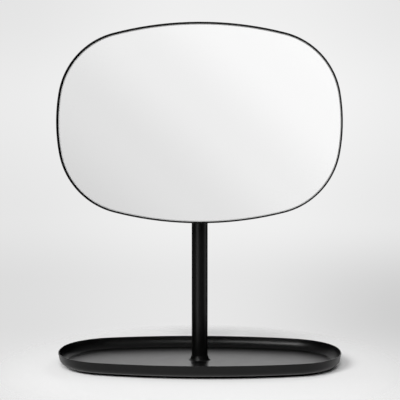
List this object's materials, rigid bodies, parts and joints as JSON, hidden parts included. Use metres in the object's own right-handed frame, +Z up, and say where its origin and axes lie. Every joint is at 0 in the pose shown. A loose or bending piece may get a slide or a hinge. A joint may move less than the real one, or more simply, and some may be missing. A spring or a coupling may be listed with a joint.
{
  "type": "table mirror with tray base",
  "caption": "Soft-cornered oval mirror in a thin steel pan, tilting on a friction hinge at the top of a round post that stands in a shallow flared steel tray.",
  "frame": {"origin": "on the table, under the middle of the tray", "axes": "+Z up; +X to the right of a person who looks into the mirror, who is on the -Y side"},
  "size_m": [0.3358, 0.1748, 0.4025],
  "materials": {
    "powder_coat": "satin black powder coat on steel",
    "mirror": "silvered float glass",
    "foam_rubber": "matt foam rubber",
    "tape_foam": "acrylic foam tape",
    "zinc_steel": "zinc plated",
    "black_steel": "black oxide",
    "spring_steel": "phosphated spring steel",
    "nylon": "natural nylon"
  },
  "bodies": {
    "base": {"tray": "powder_coat", "anti_slip_pad": "foam_rubber", "post_tube": "powder_coat", "foot_plug": "zinc_steel", "base_screw": "black_steel", "base_washer": "zinc_steel", "hinge_plug": "powder_coat", "plug_grub_screw": "black_steel"},
    "head": {"head_pan": "powder_coat", "mirror_glass": "mirror", "mounting_tapes": "tape_foam", "hinge_bracket": "powder_coat", "bracket_screws": "black_steel", "clinch_nuts": "zinc_steel", "pivot_bolt": "black_steel", "friction_washers": "nylon", "disc_springs": "spring_steel", "thrust_washer": "zinc_steel", "lock_nut": "zinc_steel", "lock_nut_ring": "nylon"}
  },
  "joints": [
    {"name": "head_tilt", "type": "hinge", "parent": "base", "child": "head", "pos_m": [0, 0.004, 0.2869], "axis": [-1, 0, 0], "range_deg": [-7.5, 85]}
  ]
}
